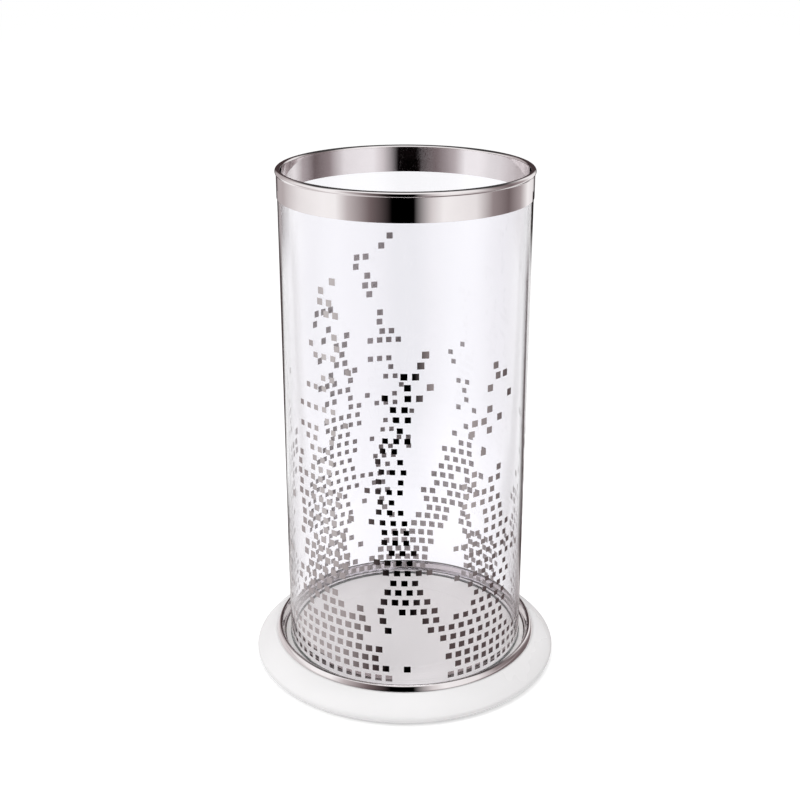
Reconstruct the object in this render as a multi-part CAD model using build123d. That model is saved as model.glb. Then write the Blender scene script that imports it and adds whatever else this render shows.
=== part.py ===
from build123d import *
from math import acos, cos, degrees, radians, sin, tan
import os

# Umbrella stand: an open glass tube with a steel collar stands in a steel drip tray, and the
# tray lies in the shallow recess of a round lacquered board on screwed rubber feet.
# Millimetres, +Z up, origin on the floor below the axis of the tube.

# Glass tube
tube_outer_radius = 118.0
tube_wall = 3.0
tube_length = 476.5
tube_chamfer = 0.5

# Collar over the top edge of the tube, rolled into a bead that holds a soft strip on the glass
collar_sheet = 0.5
collar_depth = 26.5
bead_bulge = 1.1
bead_drop = 0.65
gasket_height = 0.8
gasket_width = 1.2
rim_clearance = 0.1

# Soft ring under the foot of the tube
pad_thickness = 1.2
pad_overhang = 0.5

# Drip tray, one sheet pressed and turned over at the rim into a sloping skirt
tray_margin = 14.5
tray_sheet = 1.0
tray_depth = 9.7
tray_corner_radius = 2.5
tray_wall_lean = 10.0
tray_rim_height = 5.7
tray_crest_radius = 2.2
tray_skirt_lean = 28.0
tray_step_inset = 35.0
tray_step_width = 2.0
tray_step_height = 0.6
tray_clearance = 0.6
tray_rim_gap = 0.25

# Base, one turned board domed from a low rounded edge up to the recess for the tray
base_margin = 20.3
base_land = 0.7
base_height = 22.3
base_floor_gap = 2.0
base_tuck_radius = 4.5
base_nose_radius = 5.0
base_nose_turn = 40.0
base_dome_bulge = 1.2
base_recess_fillet = 1.5

# Feet and their screws
foot_count = 6
foot_inset = 29.0
foot_radius = 10.0
foot_height = 4.0
foot_edge_radius = 1.0
foot_web = 1.8
foot_seat_clearance = 0.3
screw_head_radius = 3.8
screw_head_height = 1.5
screw_shank_radius = 1.5
screw_length = 11.0
screw_clearance = 0.25
pilot_clearance = 0.1
pilot_end_gap = 0.8

# Heights, stacked from the floor upward
base_top = base_floor_gap + base_height
tray_crest = base_top + tray_rim_height
tray_floor = tray_crest - tray_depth
recess_floor = tray_floor - tray_sheet
tube_foot = tray_floor + pad_thickness
tube_top = tube_foot + tube_length

# Radii, stepped outward from the tube by the margins that show beside it
tube_inner_radius = tube_outer_radius - tube_wall
collar_inner_radius = tube_inner_radius - rim_clearance - collar_sheet
collar_outer_radius = tube_outer_radius + rim_clearance + collar_sheet
bead_radius = (collar_outer_radius - collar_inner_radius + bead_bulge) / 2
bead_centre = (collar_inner_radius + bead_radius, tube_top - bead_drop)
collar_lower = bead_centre[1] + bead_radius - collar_depth
tray_outer_radius = tube_outer_radius + tray_margin
tray_step_radius = tube_inner_radius - tray_step_inset
base_outer_radius = tray_outer_radius + base_margin
foot_circle_radius = base_outer_radius - foot_inset
skirt_slope = radians(tray_skirt_lean)
skirt_foot = base_top + tray_rim_gap + tray_sheet * sin(skirt_slope)
crest_centre_height = tray_crest - tray_crest_radius
skirt_start_height = crest_centre_height + tray_crest_radius * sin(skirt_slope)
skirt_reach = (skirt_start_height - skirt_foot) * tan(skirt_slope)
crest_centre_radius = tray_outer_radius - skirt_reach - tray_crest_radius * cos(skirt_slope)


# Turns a closed outline about the Z axis; X of the outline is radius and Y is height.
def turned(edges):
    return revolve(Plane.XZ * make_face(edges), Axis.Z)


# Straight tube with both ends ground flat and lightly chamfered.
def glass_tube():
    outline = Polyline(
        (tube_inner_radius, tube_foot + tube_chamfer),
        (tube_inner_radius + tube_chamfer, tube_foot),
        (tube_outer_radius - tube_chamfer, tube_foot),
        (tube_outer_radius, tube_foot + tube_chamfer),
        (tube_outer_radius, tube_top - tube_chamfer),
        (tube_outer_radius - tube_chamfer, tube_top),
        (tube_inner_radius + tube_chamfer, tube_top),
        (tube_inner_radius, tube_top - tube_chamfer),
        close=True,
    )
    return turned(outline.edges())


# Flat strip lying on the top edge of the glass, inside the bead.
def collar_gasket():
    outer = Circle(bead_centre[0] + gasket_width / 2)
    inner = Circle(bead_centre[0] - gasket_width / 2)
    return extrude(Pos(0, 0, tube_top) * (outer - inner), gasket_height)


# Where a leg at this radius runs into a circle about the bead centre, as degrees below level.
def neck_angle(radius, leg_radius):
    return degrees(acos((leg_radius - bead_centre[0]) / radius))


# One strip: up the outside of the glass, round the bead and down the inside.
def rim_collar():
    hollow_radius = bead_radius - collar_sheet
    outer_back = collar_outer_radius - collar_sheet
    inner_back = collar_inner_radius + collar_sheet
    outer_neck = neck_angle(bead_radius, collar_outer_radius)
    hollow_neck = neck_angle(hollow_radius, outer_back)
    bead_out = CenterArc(bead_centre, bead_radius, -outer_neck, 90 + outer_neck)
    bead_in = CenterArc(bead_centre, bead_radius, 90, 90)
    hollow_out = CenterArc(bead_centre, hollow_radius, -hollow_neck, 90 + hollow_neck)
    hollow_in = CenterArc(bead_centre, hollow_radius, 90, 90)
    edges = [
        Line((collar_outer_radius, collar_lower), bead_out @ 0),
        bead_out,
        bead_in,
        Line(bead_in @ 1, (collar_inner_radius, collar_lower)),
        Line((collar_inner_radius, collar_lower), (inner_back, collar_lower)),
        Line((inner_back, collar_lower), hollow_in @ 1),
        hollow_in,
        hollow_out,
        Line(hollow_out @ 0, (outer_back, collar_lower)),
        Line((outer_back, collar_lower), (collar_outer_radius, collar_lower)),
    ]
    return turned(edges)


def tube_pad():
    outer = Circle(tube_outer_radius + pad_overhang)
    inner = Circle(tube_inner_radius - pad_overhang)
    return extrude(Pos(0, 0, tray_floor) * (outer - inner), pad_thickness)


# The upper face of the tray sheet as one line: raised middle, floor, cove, leaning wall, crest
# and skirt. The sheet is this line thickened downward.
def tray_line():
    lean = radians(tray_wall_lean)
    rise = 90 - tray_wall_lean
    over = 180 - tray_wall_lean - tray_skirt_lean
    crest_start = (
        crest_centre_radius - tray_crest_radius * cos(lean),
        crest_centre_height + tray_crest_radius * sin(lean),
    )
    cove_end_height = tray_floor + tray_corner_radius * (1 - sin(lean))
    cove_end_radius = crest_start[0] - (crest_start[1] - cove_end_height) * tan(lean)
    cove_start_radius = cove_end_radius - tray_corner_radius * cos(lean)
    raised = tray_floor + tray_step_height
    floor = Polyline(
        (0, raised),
        (tray_step_radius, raised),
        (tray_step_radius + tray_step_width, tray_floor),
        (cove_start_radius, tray_floor),
    )
    cove = JernArc((cove_start_radius, tray_floor), (1, 0), tray_corner_radius, rise)
    wall = Line((cove_end_radius, cove_end_height), crest_start)
    crest = JernArc(crest_start, (sin(lean), cos(lean)), tray_crest_radius, -over)
    skirt = Line(crest @ 1, (tray_outer_radius, skirt_foot))
    return Wire([*floor.edges(), *cove.edges(), *wall.edges(), *crest.edges(), *skirt.edges()])


def drip_tray():
    sheet = tray_line().offset_2d(-tray_sheet, Kind.INTERSECTION, Side.RIGHT, True)
    return turned(sheet.edges())


# Radius of the recess that takes the outside of the tray wall at the level of the base top.
def recess_radius():
    lean = radians(tray_wall_lean)
    wall_radius = crest_centre_radius - tray_crest_radius * cos(lean)
    return wall_radius + tray_clearance


# Domed board with the recess turned into its upper face.
def base_blank():
    recess = recess_radius()
    tuck_height = base_floor_gap + base_tuck_radius
    nose_centre = (base_outer_radius - base_nose_radius, tuck_height)
    nose = CenterArc(nose_centre, base_nose_radius, 0, base_nose_turn)
    shoulder = Vector(tray_outer_radius + base_land, base_top)
    chord = shoulder - nose @ 1
    swell = (nose @ 1 + shoulder) / 2 + Vector(-chord.Y, chord.X) * (-base_dome_bulge / chord.length)
    edges = [
        Line((0, base_floor_gap), (base_outer_radius - base_tuck_radius, base_floor_gap)),
        CenterArc((base_outer_radius - base_tuck_radius, tuck_height), base_tuck_radius, -90, 90),
        nose,
        ThreePointArc(nose @ 1, swell, shoulder),
        Line(shoulder, (recess, base_top)),
        Line((recess, base_top), (recess, recess_floor)),
        Line((recess, recess_floor), (0, recess_floor)),
        Line((0, recess_floor), (0, base_floor_gap)),
    ]
    blank = turned(edges)
    mouth = blank.edges().filter_by(GeomType.CIRCLE).group_by(Axis.Z)[-1].sort_by(SortBy.RADIUS)[0]
    return fillet(mouth, base_recess_fillet)


def around_feet(piece):
    return [
        Rot(0, 0, (i + 0.5) * 360 / foot_count) * Pos(foot_circle_radius, 0, 0) * piece
        for i in range(foot_count)
    ]


# The board is bored from below: a flat seat for each foot and a pilot hole for its screw.
def base_board():
    seat_depth = foot_height - base_floor_gap
    pilot_depth = screw_length - foot_web + pilot_end_gap
    seat = Pos(0, 0, foot_height - seat_depth / 2) * Cylinder(
        foot_radius + foot_seat_clearance, seat_depth
    )
    pilot = Pos(0, 0, foot_height + pilot_depth / 2) * Cylinder(
        screw_shank_radius + pilot_clearance, pilot_depth
    )
    return base_blank() - around_feet(seat) - around_feet(pilot)


def foot():
    seat = foot_height - foot_web
    bore = screw_shank_radius + screw_clearance
    counterbore = screw_head_radius + screw_clearance
    edges = [
        Line((counterbore, 0), (foot_radius - foot_edge_radius, 0)),
        CenterArc((foot_radius - foot_edge_radius, foot_edge_radius), foot_edge_radius, -90, 90),
        Line((foot_radius, foot_edge_radius), (foot_radius, foot_height)),
        Line((foot_radius, foot_height), (bore, foot_height)),
        Line((bore, foot_height), (bore, seat)),
        Line((bore, seat), (counterbore, seat)),
        Line((counterbore, seat), (counterbore, 0)),
    ]
    return turned(edges)


def foot_screw():
    seat = foot_height - foot_web
    tip = seat + screw_length
    outline = Polyline(
        (0, seat - screw_head_height),
        (screw_head_radius, seat - screw_head_height),
        (screw_head_radius, seat),
        (screw_shank_radius, seat),
        (screw_shank_radius, tip - screw_shank_radius),
        (0, tip),
        close=True,
    )
    return turned(outline.edges())


nodes = {
    "glass_tube": glass_tube(),
    "rim_collar": rim_collar(),
    "collar_gasket": collar_gasket(),
    "tube_pad": tube_pad(),
    "drip_tray": drip_tray(),
    "base_board": base_board(),
    "foot_screws": Compound(children=around_feet(foot_screw())),
}
for number, one_foot in enumerate(around_feet(foot()), 1):
    nodes[f"foot_{number}"] = one_foot

os.makedirs("parts", exist_ok=True)
for name, shape in nodes.items():
    export_step(shape, f"parts/{name}.step")
    print(name, len(shape.solids()), round(shape.volume), shape.bounding_box().size)
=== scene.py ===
import math
import random

import bmesh
import bpy
from mathutils import Matrix


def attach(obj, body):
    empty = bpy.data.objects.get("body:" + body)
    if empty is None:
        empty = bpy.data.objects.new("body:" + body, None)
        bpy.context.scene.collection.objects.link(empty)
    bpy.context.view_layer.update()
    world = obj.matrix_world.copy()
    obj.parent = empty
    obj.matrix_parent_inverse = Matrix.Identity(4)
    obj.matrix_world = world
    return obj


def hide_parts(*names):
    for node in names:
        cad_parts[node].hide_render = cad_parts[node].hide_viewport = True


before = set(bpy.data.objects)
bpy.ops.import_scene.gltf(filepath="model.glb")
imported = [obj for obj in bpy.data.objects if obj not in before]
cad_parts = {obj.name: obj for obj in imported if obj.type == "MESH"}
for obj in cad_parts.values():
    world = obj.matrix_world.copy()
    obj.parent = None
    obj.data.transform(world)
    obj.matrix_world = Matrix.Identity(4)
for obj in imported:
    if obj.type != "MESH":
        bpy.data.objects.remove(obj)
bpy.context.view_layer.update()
scene = bpy.context.scene
mm = 0.001


# Materials

# Adds a node; an input takes a plain value or the output socket that feeds it.
def addNode(tree, kind, inputs=None, **settings):
    node = tree.nodes.new(kind)
    for key, value in settings.items():
        setattr(node, key, value)
    for key, value in (inputs or {}).items():
        if isinstance(value, bpy.types.NodeSocket):
            tree.links.new(value, node.inputs[key])
        else:
            node.inputs[key].default_value = value
    return node


def newTree(name):
    material = bpy.data.materials.new(name)
    material.use_nodes = True
    material.node_tree.nodes.clear()
    return material, material.node_tree


def setSurface(tree, shader, volume=None):
    end = addNode(tree, "ShaderNodeOutputMaterial", {"Surface": shader.outputs[0]})
    if volume:
        tree.links.new(volume.outputs[0], end.inputs["Volume"])


def objectCoords(tree):
    return addNode(tree, "ShaderNodeTexCoord").outputs["Object"]


def noise(tree, scale, detail=3.0):
    inputs = {"Vector": objectCoords(tree), "Scale": scale, "Detail": detail}
    return addNode(tree, "ShaderNodeTexNoise", inputs).outputs["Fac"]


# Spreads a 0 to 1 value over a range of numbers.
def spread(tree, value, low, high):
    inputs = {"Value": value, "From Min": 0.3, "From Max": 0.7, "To Min": low, "To Max": high}
    return addNode(tree, "ShaderNodeMapRange", inputs).outputs["Result"]


def ramp(tree, value, stops):
    node = addNode(tree, "ShaderNodeValToRGB", {"Fac": value})
    elements = node.color_ramp.elements
    while len(elements) < len(stops):
        elements.new(1.0)
    for element, (place, colour) in zip(elements, stops):
        element.position = place
        element.color = (*colour, 1.0)
    return node.outputs["Color"]


def bump(tree, height, strength, distance):
    inputs = {"Height": height, "Strength": strength, "Distance": distance}
    return addNode(tree, "ShaderNodeBump", inputs).outputs["Normal"]


def calc(tree, operation, *values):
    return addNode(tree, "ShaderNodeMath", dict(enumerate(values)), operation=operation).outputs[0]


# Polished sheet: a clean mirror with a slight haze that comes and goes.
def polishedSteel():
    material, tree = newTree("polishedSteel")
    haze = noise(tree, 38.0)
    tone = ramp(tree, haze, [(0.3, (0.88, 0.838, 0.842)), (0.7, (0.92, 0.876, 0.88))])
    shader = addNode(tree, "ShaderNodeBsdfPrincipled", {
        "Base Color": tone,
        "Metallic": 1.0,
        "Roughness": spread(tree, haze, 0.03, 0.06),
    })
    setSurface(tree, shader)
    return material


# Satin floor of the tray: fine rings left by turning, in an even matt grain.
def satinSteel():
    material, tree = newTree("satinSteel")
    grain = noise(tree, 900.0, 4.0)
    rings = addNode(tree, "ShaderNodeTexWave", {
        "Vector": objectCoords(tree), "Scale": 260.0, "Distortion": 0.6, "Detail": 2.0,
    }, wave_type="RINGS", rings_direction="Z").outputs["Fac"]
    tone = ramp(tree, noise(tree, 14.0), [(0.3, (0.94, 0.915, 0.91)), (0.7, (0.965, 0.94, 0.935))])
    height = calc(tree, "MULTIPLY_ADD", rings, 0.35, grain)
    shader = addNode(tree, "ShaderNodeBsdfPrincipled", {
        "Base Color": tone,
        "Metallic": 0.10,
        "Roughness": spread(tree, grain, 0.45, 0.55),
        "Normal": bump(tree, height, 0.05, 0.0002),
    })
    setSurface(tree, shader)
    return material


# Clear glass: a faint tint that shifts with the viewing angle, and painted shade that darkens the
# wall where it is seen edge-on; open to the lamps.
def clearGlass():
    material, tree = newTree("clearGlass")
    facing = addNode(tree, "ShaderNodeLayerWeight", {"Blend": 0.5}).outputs["Facing"]
    # Painted shade: the colour goes darker towards the edge where the wall is seen edge-on, standing
    # in for the dark rim that reflections would give.
    tintAndEdgeShade = ramp(tree, facing, [
        (0.0, (0.95, 0.945, 0.97)),
        (0.40, (0.96, 0.955, 0.98)),
        (0.56, (0.995, 0.99, 1.0)),
        (0.86, (0.995, 0.99, 1.0)),
        (1.0, (0.85, 0.84, 0.87)),
    ])
    shader = addNode(tree, "ShaderNodeBsdfPrincipled", {
        "Base Color": tintAndEdgeShade,
        "Roughness": spread(tree, noise(tree, 9.0), 0.0, 0.012),
        "IOR": 1.5,
        "Transmission Weight": 1.0,
    })
    depth = addNode(tree, "ShaderNodeVolumeAbsorption", {
        "Color": (0.80, 0.88, 0.90, 1.0), "Density": 4.0,
    })
    light = addNode(tree, "ShaderNodeLightPath")
    pane = addNode(tree, "ShaderNodeBsdfTransparent", {"Color": (0.985, 0.98, 0.98, 1.0)})
    for ray in ("Is Diffuse Ray", "Is Shadow Ray"):
        shader = addNode(tree, "ShaderNodeMixShader", {
            0: light.outputs[ray], 1: shader.outputs[0], 2: pane.outputs[0],
        })
    setSurface(tree, shader, depth)
    return material


# Silver print: mirror patches with a little unevenness from patch to patch.
def silverPrint():
    material, tree = newTree("silverPrint")
    patch = noise(tree, 70.0, 1.0)
    tone = ramp(tree, patch, [(0.3, (0.51, 0.473, 0.473)), (0.7, (0.55, 0.513, 0.513))])
    shader = addNode(tree, "ShaderNodeBsdfPrincipled", {
        "Base Color": tone,
        "Metallic": 1.0,
        "Roughness": spread(tree, patch, 0.04, 0.07),
    })
    setSurface(tree, shader)
    return material


# The back of the print, seen through the glass: a dull warm grey.
def printBack():
    material, tree = newTree("printBack")
    patch = noise(tree, 70.0, 1.0)
    tone = ramp(tree, patch, [(0.3, (0.36, 0.325, 0.315)), (0.7, (0.42, 0.38, 0.37))])
    shader = addNode(tree, "ShaderNodeBsdfPrincipled", {
        "Base Color": tone,
        "Metallic": 0.6,
        "Roughness": spread(tree, patch, 0.25, 0.35),
    })
    setSurface(tree, shader)
    return material


# White lacquer: even colour under a glossy coat with a trace of spray texture.
def whiteLacquer():
    material, tree = newTree("whiteLacquer")
    cloud = noise(tree, 12.0)
    tone = ramp(tree, cloud, [(0.3, (0.855, 0.845, 0.85)), (0.7, (0.88, 0.87, 0.875))])
    shader = addNode(tree, "ShaderNodeBsdfPrincipled", {
        "Base Color": tone,
        "Roughness": spread(tree, cloud, 0.22, 0.28),
        "IOR": 1.5,
        "Normal": bump(tree, noise(tree, 420.0, 1.0), 0.02, 0.0002),
    })
    setSurface(tree, shader)
    return material


def clearVinyl():
    material, tree = newTree("clearVinyl")
    cloud = noise(tree, 60.0)
    tone = ramp(tree, cloud, [(0.3, (0.86, 0.90, 0.89)), (0.7, (0.92, 0.95, 0.94))])
    shader = addNode(tree, "ShaderNodeBsdfPrincipled", {
        "Base Color": tone,
        "Roughness": spread(tree, cloud, 0.15, 0.30),
        "IOR": 1.47,
        "Transmission Weight": 0.85,
    })
    setSurface(tree, shader)
    return material


def footRubber():
    material, tree = newTree("footRubber")
    grain = noise(tree, 1400.0, 4.0)
    tone = ramp(tree, grain, [(0.3, (0.018, 0.018, 0.019)), (0.7, (0.040, 0.040, 0.041))])
    shader = addNode(tree, "ShaderNodeBsdfPrincipled", {
        "Base Color": tone,
        "Roughness": spread(tree, grain, 0.70, 0.90),
        "Normal": bump(tree, grain, 0.25, 0.0003),
    })
    setSurface(tree, shader)
    return material


def screwSteel():
    material, tree = newTree("screwSteel")
    grain = noise(tree, 700.0, 4.0)
    tone = ramp(tree, grain, [(0.3, (0.52, 0.53, 0.54)), (0.7, (0.66, 0.66, 0.65))])
    shader = addNode(tree, "ShaderNodeBsdfPrincipled", {
        "Base Color": tone,
        "Metallic": 1.0,
        "Roughness": spread(tree, grain, 0.28, 0.42),
        "Normal": bump(tree, grain, 0.15, 0.0002),
    })
    setSurface(tree, shader)
    return material


steel = polishedSteel()
satin = satinSteel()
glass = clearGlass()
silver = silverPrint()
silverBack = printBack()
lacquer = whiteLacquer()
vinyl = clearVinyl()
rubber = footRubber()
zinc = screwSteel()
print("materials:", len(bpy.data.materials))


# Turned pieces: a profile is drawn in the XZ plane, as radius and height in millimetres

def startProfile(radius, height):
    bm = bmesh.new()
    return bm, bm.verts.new((radius * mm, 0, height * mm))


def lineTo(bm, tip, *points):
    for radius, height in points:
        vert = bm.verts.new((radius * mm, 0, height * mm))
        bm.edges.new((tip, vert))
        tip = vert
    return tip


# Carries the line on round a centre; a positive turn goes from outward to upward.
def arcTo(bm, tip, centre, turn, steps):
    made = bmesh.ops.spin(
        bm, geom=[tip], cent=(centre[0] * mm, 0, centre[1] * mm), axis=(0, 1, 0),
        angle=-math.radians(turn), steps=steps,
    )
    return made["geom_last"][0]


# Carries the line on to a point by a shallow arc that bulges this far off its chord.
def bulgeTo(bm, tip, end, bulge, steps):
    start = (tip.co.x / mm, tip.co.z / mm)
    across, rise = end[0] - start[0], end[1] - start[1]
    chord = math.hypot(across, rise)
    radius = (chord ** 2 / 4 + bulge ** 2) / (2 * bulge)
    back = (radius - bulge) / chord
    centre = (
        (start[0] + end[0]) / 2 - rise * back,
        (start[1] + end[1]) / 2 + across * back,
    )
    return arcTo(bm, tip, centre, math.degrees(2 * math.asin(chord / 2 / radius)), steps)


def turnProfile(bm, steps):
    bmesh.ops.spin(
        bm, geom=bm.verts[:] + bm.edges[:], cent=(0, 0, 0), axis=(0, 0, 1),
        angle=2 * math.pi, steps=steps, use_merge=True,
    )
    bmesh.ops.remove_doubles(bm, verts=bm.verts, dist=1e-6)
    bmesh.ops.recalc_face_normals(bm, faces=bm.faces)


# Edges whose two ends both lie in a ring given by radius and height, in millimetres.
def ringEdges(bm, radius, height, near=0.01):
    def inRing(vert):
        return (
            abs(math.hypot(vert.co.x, vert.co.y) / mm - radius) < near
            and abs(vert.co.z / mm - height) < near
        )
    return [edge for edge in bm.edges if all(inRing(vert) for vert in edge.verts)]


def bevelRings(bm, rings, width, segments):
    edges = [edge for radius, height in rings for edge in ringEdges(bm, radius, height)]
    bmesh.ops.bevel(
        bm, geom=edges, offset=width * mm, offset_type="OFFSET", affect="EDGES",
        segments=segments, profile=0.5, material=-1,
    )


def addPiece(name, bm, materials, body, slot, *nodes):
    mesh = bpy.data.meshes.new(name)
    bm.to_mesh(mesh)
    bm.free()
    for material in materials:
        mesh.materials.append(material)
    mesh.shade_smooth()
    piece = bpy.data.objects.new(name, mesh)
    scene.collection.objects.link(piece)
    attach(piece, body)
    if nodes:
        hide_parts(*nodes)
    return piece


# Keeps flat faces flat where they meet a rounding, and breaks the shading at sharp edges.
def crisp(piece, angle):
    piece.data.set_sharp_from_angle(angle=math.radians(angle))
    weighted = piece.modifiers.new("weighted", "WEIGHTED_NORMAL")
    weighted.keep_sharp = True
    return piece


# Glass tube
tube = {
    "outer": 118.0, "wall": 3.0, "foot": 21.5, "top": 498.0, "chamfer": 0.5, "steps": 256,
    "sharpFrom": 30,
}


def glassTube(size):
    outer, chamfer, foot, top = size["outer"], size["chamfer"], size["foot"], size["top"]
    inner = outer - size["wall"]
    bm, first = startProfile(outer, foot + chamfer)
    tip = lineTo(
        bm, first, (outer, top - chamfer), (outer - chamfer, top), (inner + chamfer, top),
        (inner, top - chamfer), (inner, foot + chamfer), (inner + chamfer, foot),
        (outer - chamfer, foot),
    )
    bm.edges.new((tip, first))
    turnProfile(bm, size["steps"])
    return addPiece("glassTube", bm, [glass], "tube", "clear_glass", "glass_tube")


crisp(glassTube(tube), tube["sharpFrom"])


# Collar over the top edge of the tube: one strip, rolled outward into a bead at the crest
collar = {
    "outer": 118.6, "inner": 114.4, "sheet": 0.5, "lower": 473.5, "top": 500.0, "bead": 2.65,
    "hem": 0.15, "neck": 0.4, "steps": 256, "beadSteps": 28, "roundSteps": 3,
    "sharpFrom": 40,
}


def rimCollar(size):
    outer, inner, sheet, lower = size["outer"], size["inner"], size["sheet"], size["lower"]
    bead, steps, roundSteps = size["bead"], size["beadSteps"], size["roundSteps"]
    centre = (inner + bead, size["top"] - bead)
    outside = math.acos((outer - centre[0]) / bead)
    inside = math.acos((outer - sheet - centre[0]) / (bead - sheet))
    neck = centre[1] - bead * math.sin(outside)
    bm, first = startProfile(outer, lower)
    tip = lineTo(bm, first, (outer, neck))
    tip = arcTo(bm, tip, centre, 180 + math.degrees(outside), steps)
    tip = lineTo(bm, tip, (inner, lower), (inner + sheet, lower), (inner + sheet, centre[1]))
    tip = arcTo(bm, tip, centre, -180 - math.degrees(inside), steps)
    tip = lineTo(bm, tip, (outer - sheet, lower))
    bm.edges.new((tip, first))
    turnProfile(bm, size["steps"])
    bevelRings(bm, [(outer, lower), (inner, lower)], size["hem"], roundSteps)
    bevelRings(bm, [(outer, neck)], size["neck"], roundSteps)
    return addPiece("rimCollar", bm, [steel], "tube", "polished_steel", "rim_collar")


crisp(rimCollar(collar), collar["sharpFrom"])
print("tube and collar done")


# Drip tray: one sheet with a raised middle, a cove, a leaning wall, a round crest and a skirt
tray = {
    "floor": 20.3, "raise": 0.6, "stepFrom": 80.0, "stepTo": 82.0, "soft": 0.8,
    "cove": 2.5, "lean": 10.0, "top": 30.0, "crest": 2.2, "outer": 132.5, "skirtLean": 28.0,
    "skirtFoot": 25.02, "sheet": 1.0, "steps": 256, "coveSteps": 12, "crestSteps": 24,
    "sharpFrom": 60, "polishFrom": 0.2,  # the polish starts this far past the foot of the cove
}


def dripTray(size):
    lean, slope = math.radians(size["lean"]), math.radians(size["skirtLean"])
    floor, cove, crest, soft = size["floor"], size["cove"], size["crest"], size["soft"]
    raised = floor + size["raise"]
    crestHeight = size["top"] - crest
    skirtDrop = crestHeight + crest * math.sin(slope) - size["skirtFoot"]
    crestRadius = size["outer"] - skirtDrop * math.tan(slope) - crest * math.cos(slope)
    wallTop = (crestRadius - crest * math.cos(lean), crestHeight + crest * math.sin(lean))
    wallFoot = floor + cove * (1 - math.sin(lean))
    wallRadius = wallTop[0] - (wallTop[1] - wallFoot) * math.tan(lean)
    coveRadius = wallRadius - cove * math.cos(lean)
    bm, first = startProfile(0, raised)
    tip = lineTo(
        bm, first, (size["stepFrom"] - soft, raised), (size["stepFrom"], raised),
        (size["stepTo"], floor), (size["stepTo"] + soft, floor),
        (coveRadius - soft, floor), (coveRadius, floor),
    )
    tip = arcTo(bm, tip, (coveRadius, floor + cove), 90 - size["lean"], size["coveSteps"])
    tip = lineTo(bm, tip, wallTop)
    over = size["lean"] + size["skirtLean"] - 180
    tip = arcTo(bm, tip, (crestRadius, crestHeight), over, size["crestSteps"])
    lineTo(bm, tip, (size["outer"], size["skirtFoot"]))
    turnProfile(bm, size["steps"])
    satinLimit = (coveRadius + size["polishFrom"]) * mm
    for face in bm.faces:
        middle = face.calc_center_median()
        face.material_index = int(math.hypot(middle.x, middle.y) < satinLimit)
    piece = addPiece("dripTray", bm, [steel, satin], "tray", "polished_steel", "drip_tray")
    thick = piece.modifiers.new("sheet", "SOLIDIFY")
    thick.thickness = size["sheet"] * mm
    thick.offset = -1.0
    return piece


crisp(dripTray(tray), tray["sharpFrom"])


# Base board: low rounded edge, a dome up to the tray and the recess for it
base = {
    "outer": 152.8, "under": 2.0, "top": 24.3, "tuck": 4.5, "nose": 5.0, "noseTurn": 40.0,
    "shoulder": 133.2, "bulge": 1.2, "recess": 126.96, "recessFloor": 19.3, "mouth": 1.5,
    "steps": 256, "wideSteps": 16, "tightSteps": 8, "sharpFrom": 40,
}


def baseBoard(size):
    outer, under, top, tuck = size["outer"], size["under"], size["top"], size["tuck"]
    recess, mouth = size["recess"], size["mouth"]
    wide, tight = size["wideSteps"], size["tightSteps"]
    middle = under + tuck
    bm, first = startProfile(0, under)
    tip = lineTo(bm, first, (outer - tuck, under))
    tip = arcTo(bm, tip, (outer - tuck, middle), 90, wide)
    tip = arcTo(bm, tip, (outer - size["nose"], middle), size["noseTurn"], tight)
    tip = bulgeTo(bm, tip, (size["shoulder"], top), size["bulge"], wide)
    tip = lineTo(bm, tip, (recess + mouth, top))
    tip = arcTo(bm, tip, (recess + mouth, top - mouth), 90, tight)
    lineTo(bm, tip, (recess, size["recessFloor"]), (0, size["recessFloor"]))
    turnProfile(bm, size["steps"])
    return addPiece("baseBoard", bm, [lacquer], "base", "white_lacquer", "base_board")


crisp(baseBoard(base), base["sharpFrom"])
print("tray and base done")


# Silver squares printed on the outside of the tube: dense below, thinning out in plumes
squares = {
    "side": 5.85, "sideSwing": 0.75, "swingTurns": 2, "swingStart": 40, "swingHeight": 55,
    "columns": 73, "rowPitch": 10.1, "firstRow": 30.0, "lastRow": 450.0,
    "stray": 0.25, "rowStray": 0.5, "lift": 0.04, "film": 0.05, "facets": 3, "sharpFrom": 30,
    "seed": 11,
}
# Up to its top the band goes all round, and its edge waves
band = {"top": 78, "wave": 16, "waves": 3}
# Each plume: azimuth from the front, half width at its foot, shoulder and top height
plumes = [
    (-2, 10, 150, 470), (-40, 22, 150, 420), (44, 24, 110, 345), (-88, 18, 120, 300),
    (92, 16, 100, 260), (152, 18, 110, 300), (-138, 22, 130, 350), (-168, 8, 150, 415),
]
plumeShape = {
    "taper": 0.7, "least": 3.5, "sway": 6, "swayHeight": 48, "full": 0.97, "thinning": 0.6,
    "fringe": 6, "fringeShare": 0.22,
}
# Each bare patch: azimuth, half width, lower and upper end
barePatches = [
    (4, 15, 16, 104), (-24, 7, 96, 170), (66, 8, 50, 150), (-64, 7, 60, 150),
    (110, 9, 22, 120), (-108, 8, 50, 160), (155, 10, 18, 110), (-158, 9, 40, 140),
    (2, 11, 366, 424), (0, 12, 420, 480),
]
bareShape = {"belly": 0.6, "round": 0.8, "sway": 3, "swayHeight": 20, "share": 0.02}


def turnBetween(first, second):
    return abs((first - second + 180) % 360 - 180)


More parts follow.
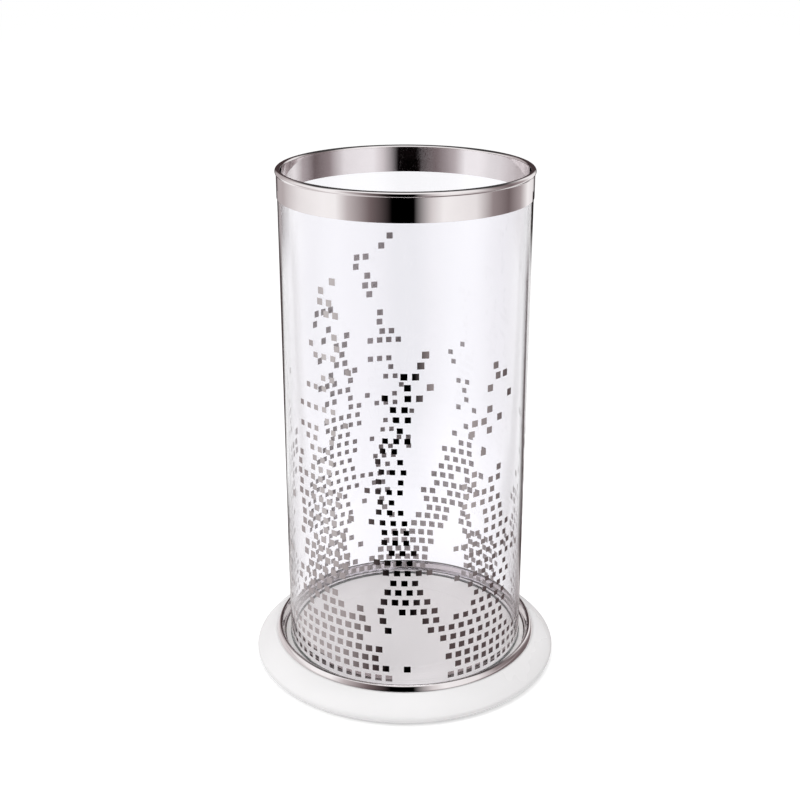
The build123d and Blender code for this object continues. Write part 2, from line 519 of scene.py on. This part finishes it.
# Share of the places at this spot that carry a square.
def cover(azimuth, height):
    edge = band["top"] + band["wave"] * math.sin(math.radians(band["waves"] * azimuth))
    share = 1.0 if height < edge else 0.0
    for middle, half, shoulder, top in plumes:
        if height >= top:
            continue
        reach = max(half * (1 - height / top) ** plumeShape["taper"], plumeShape["least"])
        sway = plumeShape["sway"] * math.sin(height / plumeShape["swayHeight"])
        away = turnBetween(azimuth, middle + sway)
        thin = max(0.0, height - shoulder) / (top - shoulder)
        if away < reach:
            share = max(share, plumeShape["full"] - plumeShape["thinning"] * thin)
        elif away < reach + plumeShape["fringe"]:
            share = max(share, plumeShape["fringeShare"])
    for middle, half, low, high in barePatches:
        if low < height < high:
            along = (height - low) / (high - low)
            reach = half * math.sin(math.pi * along ** bareShape["belly"]) ** bareShape["round"]
            sway = bareShape["sway"] * math.sin(height / bareShape["swayHeight"])
            if turnBetween(azimuth, middle + sway) < reach:
                share = bareShape["share"]
    return share


def mirrorSquares(size):
    dice = random.Random(size["seed"])
    radius = tube["outer"] + size["lift"]
    stray, rowStray = size["stray"], size["rowStray"]
    bm = bmesh.new()
    height = size["firstRow"]
    while height < size["lastRow"]:
        shift = dice.random()
        for column in range(size["columns"]):
            azimuth = (column + shift) * 360 / size["columns"]
            if dice.random() > cover(azimuth, height):
                continue
            along = math.radians(azimuth) * radius + dice.uniform(-stray, stray)
            place = Matrix.Translation((along * mm, height * mm, 0))
            start = math.radians(size["swingTurns"] * azimuth + size["swingStart"])
            swing = math.sin(start + height / size["swingHeight"])
            half = (size["side"] + size["sideSwing"] * swing) / 2
            bmesh.ops.create_grid(
                bm, x_segments=size["facets"], y_segments=1, size=half * mm, matrix=place
            )
        height += size["rowPitch"] + dice.uniform(-rowStray, rowStray)
    # Wrap the flat field round the tube, with its start at the front
    for vert in bm.verts:
        turn = vert.co.x / (radius * mm)
        vert.co = (radius * mm * math.sin(turn), -radius * mm * math.cos(turn), vert.co.y)
    bm.normal_update()
    bmesh.ops.solidify(bm, geom=bm.faces[:], thickness=-size["film"] * mm)
    bmesh.ops.recalc_face_normals(bm, faces=bm.faces)
    outside = (radius + size["film"] / 2) * mm
    for face in bm.faces:
        middle = face.calc_center_median()
        face.material_index = int(math.hypot(middle.x, middle.y) < outside)
    piece = addPiece("silverSquares", bm, [silver, silverBack], "tube", "polished_steel")
    piece.data.set_sharp_from_angle(angle=math.radians(size["sharpFrom"]))
    return piece


mirrorSquares(squares)
print("squares done")


# CAD nodes that are shown as they are
shownNodes = {
    "collar_gasket": vinyl, "tube_pad": vinyl, "foot_screws": zinc,
    **{f"foot_{number}": rubber for number in range(1, 7)},
}
for name, material in shownNodes.items():
    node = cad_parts[name]
    node.data.materials.clear()
    node.data.materials.append(material)


# Studio

def cameraLike(tree):
    light = addNode(tree, "ShaderNodeLightPath")
    seen = calc(tree, "MAXIMUM", light.outputs["Is Camera Ray"], light.outputs["Is Glossy Ray"])
    return calc(tree, "MAXIMUM", seen, light.outputs["Is Transmission Ray"])


def addStage(name, bm, material):
    mesh = bpy.data.meshes.new(name)
    bm.to_mesh(mesh)
    bm.free()
    mesh.materials.append(material)
    item = bpy.data.objects.new(name, mesh)
    scene.collection.objects.link(item)
    return item


# The glow goes by distance, and far off it brings the floor to the level of the world
floor = {
    "radius": 9.0, "segments": 96, "colour": (0.80, 0.80, 0.80, 1.0),
    "glow": [
        (0.0, 0.36), (0.5, 0.36), (0.75, 0.29), (1.3, 0.33), (2.0, 0.39), (4.0, 0.39), (8.0, 0.376),
    ],
}


def axisDistance(tree):
    inputs = {0: objectCoords(tree)}
    return addNode(tree, "ShaderNodeVectorMath", inputs, operation="LENGTH").outputs["Value"]


# A grey level that changes with the distance from the axis of the tube.
def byDistance(tree, stops):
    reach = stops[-1][0]
    share = calc(tree, "DIVIDE", axisDistance(tree), reach)
    return ramp(tree, share, [(place / reach, (level,) * 3) for place, level in stops])


def studioFloor(size):
    material, tree = newTree("studioFloor")
    matt = addNode(tree, "ShaderNodeBsdfDiffuse", {"Color": size["colour"]})
    level = byDistance(tree, size["glow"])
    glow = addNode(tree, "ShaderNodeEmission", {
        "Color": level, "Strength": cameraLike(tree),
    })
    setSurface(tree, addNode(tree, "ShaderNodeAddShader", {0: matt.outputs[0], 1: glow.outputs[0]}))
    bm = bmesh.new()
    bmesh.ops.create_circle(
        bm, cap_ends=True, segments=size["segments"], radius=size["radius"]
    )
    return addStage("studioFloor", bm, material)


# Reflectors show only in reflections, so that the polished metal has something dark to mirror

def objectPlace(tree):
    return addNode(tree, "ShaderNodeSeparateXYZ", {0: objectCoords(tree)}).outputs


warmth = (1.0, 1.13, 1.12)  # powers of red, green and blue: the half tones are a little warm


def azimuthTone(tree, stops):
    place = objectPlace(tree)
    forward = calc(tree, "MULTIPLY", place["Y"], -1.0)
    turn = calc(tree, "ARCTAN2", place["X"], forward)
    share = calc(tree, "MULTIPLY_ADD", turn, 1 / (2 * math.pi), 0.5)
    return ramp(tree, share, [
        ((azimuth + 180) / 360, tuple(level ** power for power in warmth))
        for azimuth, level in stops
    ])


def shareBetween(tree, value, start, end):
    inputs = {"Value": value, "From Min": start, "From Max": end}
    return addNode(tree, "ShaderNodeMapRange", inputs).outputs["Result"]


def mixTone(tree, share, first, second):
    inputs = {"Factor": share, 6: first, 7: second}
    return addNode(tree, "ShaderNodeMix", inputs, data_type="RGBA").outputs[2]


def onlyMirrored(item, tree, tone):
    glow = addNode(tree, "ShaderNodeEmission", {"Color": tone, "Strength": 1.0})
    clear = addNode(tree, "ShaderNodeBsdfTransparent")
    bounces = addNode(tree, "ShaderNodeLightPath").outputs["Glossy Depth"]
    setSurface(tree, addNode(tree, "ShaderNodeMixShader", {
        0: calc(tree, "GREATER_THAN", bounces, 0.5), 1: clear.outputs[0], 2: glow.outputs[0],
    }))
    item.visible_camera = False
    item.visible_diffuse = False
    item.visible_shadow = False


# Panels and gaps round the stand as the collar mirrors them, by azimuth from the front
panels = [
    (-150, 0.47), (-135, 0.49), (-105, 0.88), (-75, 1.0), (-62, 1.0), (-50, 0.55), (-30, 0.17),
    (-12, 0.0), (7, 0.0), (22, 0.72), (32, 0.98), (62, 0.88), (80, 0.32), (100, 0.17),
    (118, 0.40), (134, 0.95), (150, 0.85),
]
# Dome: those panels low down, and dark above and behind but for a panel on the camera's side
dome = {
    "radius": 2.4, "segments": 96, "rings": 48, "cut": 0.001,
    "overhead": (1.45, 1.80), "frontal": (0.10, -0.60),
    "dark": (0.05, 0.05, 0.05, 1.0), "white": (1.0, 1.0, 1.0, 1.0),
    "tones": [(-180, 0.06), (-160, 0.06), *panels, (160, 0.06), (180, 0.06)],
}


def studioDome(size):
    bm = bmesh.new()
    bmesh.ops.create_uvsphere(
        bm, u_segments=size["segments"], v_segments=size["rings"], radius=size["radius"]
    )
    bmesh.ops.bisect_plane(
        bm, geom=bm.verts[:] + bm.edges[:] + bm.faces[:], plane_co=(0, 0, size["cut"]),
        plane_no=(0, 0, 1), clear_inner=True,
    )
    material, tree = newTree("studioDome")
    sides = azimuthTone(tree, size["tones"])
    place = objectPlace(tree)
    frontal = shareBetween(tree, place["Y"], *size["frontal"])
    overhead = shareBetween(tree, place["Z"], *size["overhead"])
    above = mixTone(tree, frontal, size["dark"], size["white"])
    tone = mixTone(tree, overhead, sides, above)
    onlyMirrored(addStage("studioDome", bm, material), tree, tone)


# Carpet: the floor as it is mirrored. Close to the stand it is dark before the camera and to
# its right, further out grey all round, and far off it goes on from the panels.
carpet = {
    "inner": 0.156, "outer": 2.45, "lift": 0.0006, "steps": 96,
    "nearFrom": (0.30, 0.50), "farFrom": (1.5, 1.95),
    "close": [
        (-180, 0.75), (-164, 0.75), (-158, 0.04), (-140, 0.04), (-134, 0.75), (-60, 0.70),
        (-45, 0.62), (-22, 0.12), (-12, 0.0), (5, 0.0), (22, 0.15), (100, 0.18), (125, 0.60),
        (134, 0.08), (142, 0.08), (150, 0.75), (180, 0.75),
    ],
    "near": [
        (-180, 0.75), (-168, 0.60), (-164, 0.08), (-152, 0.08), (-146, 1.0), (-135, 1.0),
        (-105, 0.54), (-75, 1.0), (-60, 0.92), (-36, 0.27), (-18, 0.0), (8, 0.0), (20, 0.45),
        (32, 0.86), (42, 0.90), (60, 0.68), (105, 0.18), (128, 1.0), (142, 0.10), (147, 0.10),
        (150, 0.90), (180, 0.75),
    ],
    "far": [(-180, 0.02), (-160, 0.02), (-157, 0.40), *panels, (153, 0.02), (180, 0.02)],
}


def studioCarpet(size):
    bm = bmesh.new()
    near = bm.verts.new((size["inner"], 0, size["lift"]))
    far = bm.verts.new((size["outer"], 0, size["lift"]))
    edge = bm.edges.new((near, far))
    bmesh.ops.spin(
        bm, geom=[near, far, edge], cent=(0, 0, 0), axis=(0, 0, 1), angle=2 * math.pi,
        steps=size["steps"], use_merge=True,
    )
    material, tree = newTree("studioCarpet")
    away = axisDistance(tree)
    tone = azimuthTone(tree, size["close"])
    for zone in ("near", "far"):
        share = shareBetween(tree, away, *size[zone + "From"])
        tone = mixTone(tree, share, tone, azimuthTone(tree, size[zone]))
    onlyMirrored(addStage("studioCarpet", bm, material), tree, tone)


# Each lamp: name, place, size and power
lighting = {
    "target": (0.0, 0.0, 0.22), "ambient": 0.78,
    "lamps": [
        ("keyLight", (-1.5, -0.9, 1.7), 1.1, 12.0),
        ("frontLight", (0.7, -1.9, 0.9), 1.0, 2.0),
        ("topLight", (0.1, 0.3, 2.2), 1.0, 8.0),
    ],
}


def softLight(name, place, target, size, power):
    light = bpy.data.lights.new(name, "AREA")
    light.shape = "SQUARE"
    light.size = size
    light.energy = power
    item = bpy.data.objects.new(name, light)
    item.location = place
    towards = [end - start for start, end in zip(place, target)]
    flat = math.hypot(towards[0], towards[1])
    item.rotation_euler = (
        math.atan2(flat, -towards[2]), 0.0, math.atan2(-towards[0], towards[1])
    )
    item.visible_camera = False
    item.visible_glossy = False  # the dome stands for it in reflections
    scene.collection.objects.link(item)


def studioWorld(ambient):
    world = bpy.data.worlds.new("studioWorld")
    world.use_nodes = True
    tree = world.node_tree
    tree.nodes.clear()
    strength = calc(tree, "MULTIPLY_ADD", cameraLike(tree), 1.0 - ambient, ambient)
    sky = addNode(tree, "ShaderNodeBackground", {"Color": (1.0, 1.0, 1.0, 1.0), "Strength": strength})
    addNode(tree, "ShaderNodeOutputWorld", {"Surface": sky.outputs[0]})
    scene.world = world


studioFloor(floor)
studioDome(dome)
studioCarpet(carpet)
for name, place, size, power in lighting["lamps"]:
    softLight(name, place, lighting["target"], size, power)
studioWorld(lighting["ambient"])
scene.view_settings.view_transform = "Standard"
print("studio done")


# Camera at the photograph's view
shot = {
    "place": (-0.0050, -1.1924, 0.7186), "down": 20.57, "lens": 58.65, "sensor": 36.0,
    "nearest": 0.02,
}
lens = bpy.data.cameras.new("shot")
lens.lens = shot["lens"]
lens.sensor_width = shot["sensor"]
lens.clip_start = shot["nearest"]
camera = bpy.data.objects.new("shot", lens)
camera.location = shot["place"]
camera.rotation_euler = (math.radians(90 - shot["down"]), 0.0, 0.0)
scene.collection.objects.link(camera)
scene.camera = camera
